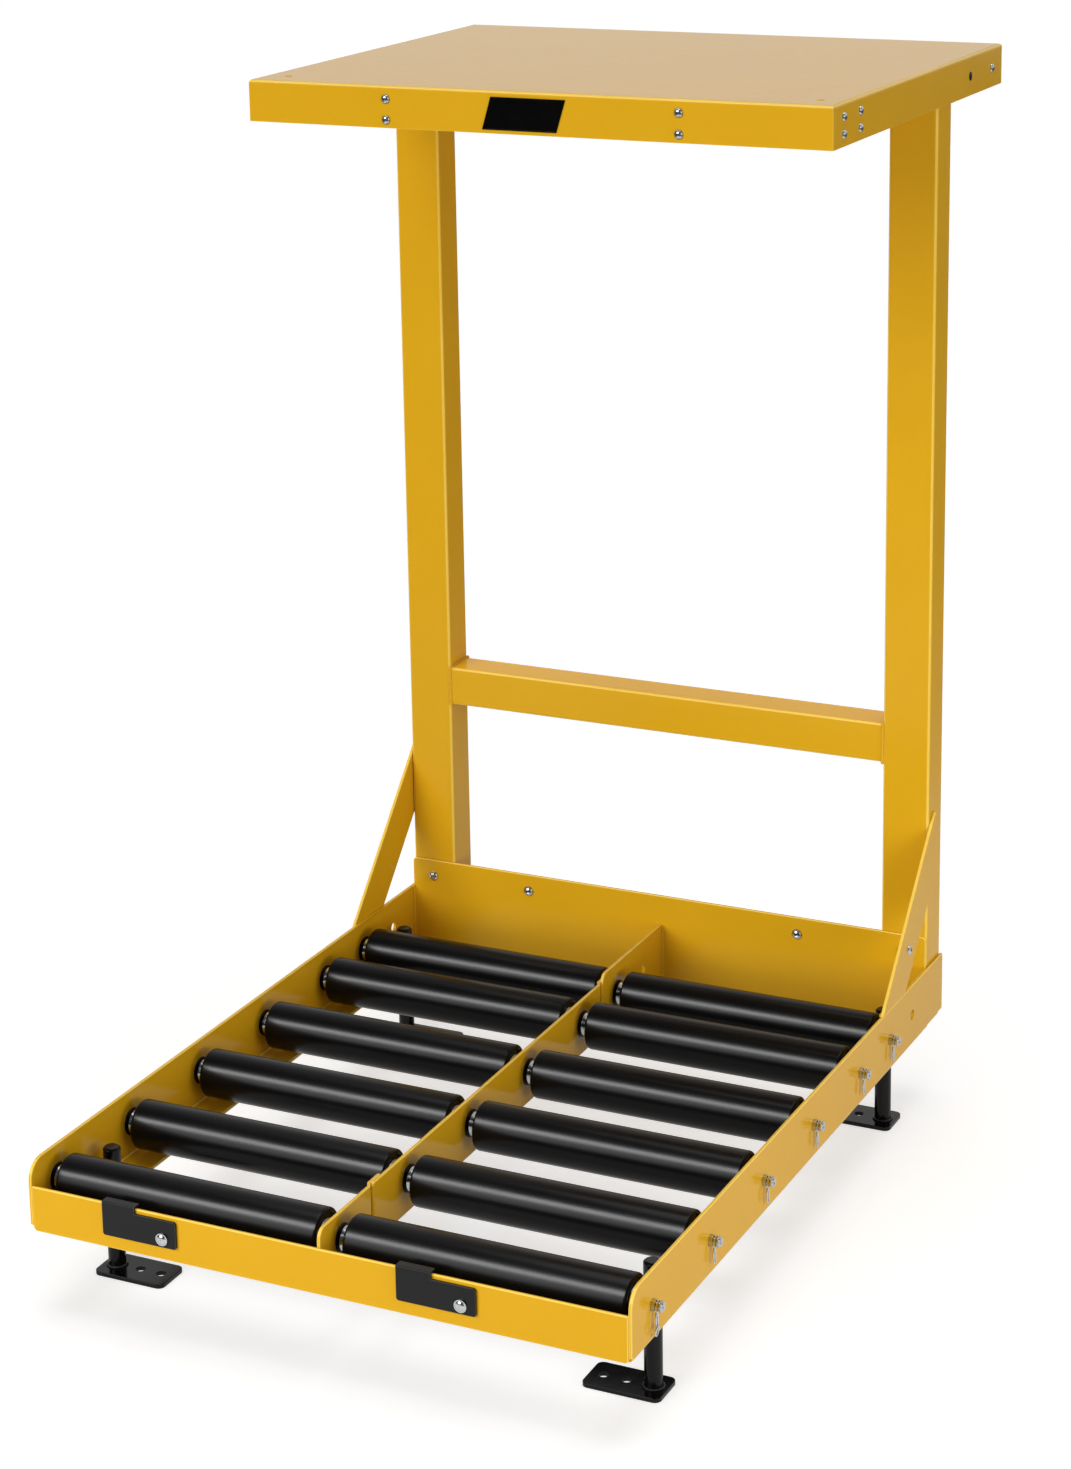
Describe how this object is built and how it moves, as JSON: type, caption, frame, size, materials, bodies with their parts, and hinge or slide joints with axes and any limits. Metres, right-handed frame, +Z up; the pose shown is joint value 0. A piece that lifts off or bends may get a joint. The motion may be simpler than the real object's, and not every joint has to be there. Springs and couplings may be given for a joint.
{
  "type": "battery roller stand",
  "caption": "Steel stand with a roller bed in lanes for lift-truck batteries, flip-up stops, height-adjustable feet and a charger shelf on a rear portal.",
  "frame": {"origin": "on the floor, under the middle of the stand's outer box", "axes": "+Z up, +Y from the loading front to the back, +X to the right seen from the front"},
  "size_m": [0.946, 1.4584, 1.638],
  "materials": {
    "frame_yellow": "glossy yellow powder coat on steel",
    "zinc_fasteners": "bright zinc plate",
    "axle_steel": "bright drawn steel",
    "spacer_steel": "turned and zinc plated steel",
    "roller_black": "satin black coat on steel tube",
    "hub_black": "moulded black plastic",
    "foot_black": "gloss black paint on steel",
    "stop_black": "satin dark coat on steel"
  },
  "bodies": {
    "frame": {"left_side_rail": "frame_yellow", "right_side_rail": "frame_yellow", "front_plate": "frame_yellow", "back_plate": "frame_yellow", "divider_front_bracket": "frame_yellow", "divider_rail": "frame_yellow", "divider_rear_bracket": "frame_yellow", "left_post": "frame_yellow", "right_post": "frame_yellow", "cross_bar": "frame_yellow", "top_cross_bar": "frame_yellow", "left_gusset": "frame_yellow", "right_gusset": "frame_yellow", "shelf_deck": "frame_yellow", "shelf_rim": "frame_yellow", "shelf_arms": "frame_yellow", "shelf_corner_brackets": "frame_yellow", "foot_collars": "frame_yellow", "shelf_screws": "zinc_fasteners", "back_plate_bolts": "zinc_fasteners", "stop_pivot_bolts": "zinc_fasteners", "cotter_pins": "zinc_fasteners", "foot_set_screws": "zinc_fasteners", "axle_spacers": "spacer_steel", "axle_1": "axle_steel", "axle_2": "axle_steel", "axle_3": "axle_steel", "axle_4": "axle_steel", "axle_5": "axle_steel", "axle_6": "axle_steel"},
    "roller_left_1": {"roller_left_1": "roller_black", "roller_left_1_hubs": "hub_black"},
    "roller_left_2": {"roller_left_2": "roller_black", "roller_left_2_hubs": "hub_black"},
    "roller_left_3": {"roller_left_3": "roller_black", "roller_left_3_hubs": "hub_black"},
    "roller_left_4": {"roller_left_4": "roller_black", "roller_left_4_hubs": "hub_black"},
    "roller_left_5": {"roller_left_5": "roller_black", "roller_left_5_hubs": "hub_black"},
    "roller_left_6": {"roller_left_6": "roller_black", "roller_left_6_hubs": "hub_black"},
    "roller_right_1": {"roller_right_1": "roller_black", "roller_right_1_hubs": "hub_black"},
    "roller_right_2": {"roller_right_2": "roller_black", "roller_right_2_hubs": "hub_black"},
    "roller_right_3": {"roller_right_3": "roller_black", "roller_right_3_hubs": "hub_black"},
    "roller_right_4": {"roller_right_4": "roller_black", "roller_right_4_hubs": "hub_black"},
    "roller_right_5": {"roller_right_5": "roller_black", "roller_right_5_hubs": "hub_black"},
    "roller_right_6": {"roller_right_6": "roller_black", "roller_right_6_hubs": "hub_black"},
    "front_left_foot": {"front_left_foot": "foot_black"},
    "front_right_foot": {"front_right_foot": "foot_black"},
    "rear_left_foot": {"rear_left_foot": "foot_black"},
    "rear_right_foot": {"rear_right_foot": "foot_black"},
    "battery_stop_left": {"battery_stop_left": "stop_black"},
    "battery_stop_right": {"battery_stop_right": "stop_black"}
  },
  "joints": [
    {"name": "roller_left_1_spin", "type": "hinge", "parent": "frame", "child": "roller_left_1", "pos_m": [-0.22725, -0.6518, 0.1765], "axis": [1, 0, 0], "continuous": true},
    {"name": "roller_left_2_spin", "type": "hinge", "parent": "frame", "child": "roller_left_2", "pos_m": [-0.22725, -0.4583, 0.1765], "axis": [1, 0, 0], "continuous": true},
    {"name": "roller_left_3_spin", "type": "hinge", "parent": "frame", "child": "roller_left_3", "pos_m": [-0.22725, -0.2648, 0.1765], "axis": [1, 0, 0], "continuous": true},
    {"name": "roller_left_4_spin", "type": "hinge", "parent": "frame", "child": "roller_left_4", "pos_m": [-0.22725, -0.0713, 0.1765], "axis": [1, 0, 0], "continuous": true},
    {"name": "roller_left_5_spin", "type": "hinge", "parent": "frame", "child": "roller_left_5", "pos_m": [-0.22725, 0.1222, 0.1765], "axis": [1, 0, 0], "continuous": true},
    {"name": "roller_left_6_spin", "type": "hinge", "parent": "frame", "child": "roller_left_6", "pos_m": [-0.22725, 0.2542, 0.1765], "axis": [1, 0, 0], "continuous": true},
    {"name": "roller_right_1_spin", "type": "hinge", "parent": "frame", "child": "roller_right_1", "pos_m": [0.22725, -0.6518, 0.1765], "axis": [1, 0, 0], "continuous": true},
    {"name": "roller_right_2_spin", "type": "hinge", "parent": "frame", "child": "roller_right_2", "pos_m": [0.22725, -0.4583, 0.1765], "axis": [1, 0, 0], "continuous": true},
    {"name": "roller_right_3_spin", "type": "hinge", "parent": "frame", "child": "roller_right_3", "pos_m": [0.22725, -0.2648, 0.1765], "axis": [1, 0, 0], "continuous": true},
    {"name": "roller_right_4_spin", "type": "hinge", "parent": "frame", "child": "roller_right_4", "pos_m": [0.22725, -0.0713, 0.1765], "axis": [1, 0, 0], "continuous": true},
    {"name": "roller_right_5_spin", "type": "hinge", "parent": "frame", "child": "roller_right_5", "pos_m": [0.22725, 0.1222, 0.1765], "axis": [1, 0, 0], "continuous": true},
    {"name": "roller_right_6_spin", "type": "hinge", "parent": "frame", "child": "roller_right_6", "pos_m": [0.22725, 0.2542, 0.1765], "axis": [1, 0, 0], "continuous": true},
    {"name": "front_left_foot_height", "type": "slide", "parent": "frame", "child": "front_left_foot", "axis": [0, 0, 1], "range_m": [-0.035, 0.02]},
    {"name": "front_right_foot_height", "type": "slide", "parent": "frame", "child": "front_right_foot", "axis": [0, 0, 1], "range_m": [-0.035, 0.02]},
    {"name": "rear_left_foot_height", "type": "slide", "parent": "frame", "child": "rear_left_foot", "axis": [0, 0, 1], "range_m": [-0.035, 0.02]},
    {"name": "rear_right_foot_height", "type": "slide", "parent": "frame", "child": "rear_right_foot", "axis": [0, 0, 1], "range_m": [-0.035, 0.02]},
    {"name": "battery_stop_left_turn", "type": "hinge", "parent": "frame", "child": "battery_stop_left", "pos_m": [-0.23875, -0.7223, 0.1564], "axis": [0, 1, 0], "range_deg": [0, 103]},
    {"name": "battery_stop_right_turn", "type": "hinge", "parent": "frame", "child": "battery_stop_right", "pos_m": [0.21575, -0.7223, 0.1564], "axis": [0, 1, 0], "range_deg": [0, 103]}
  ]
}
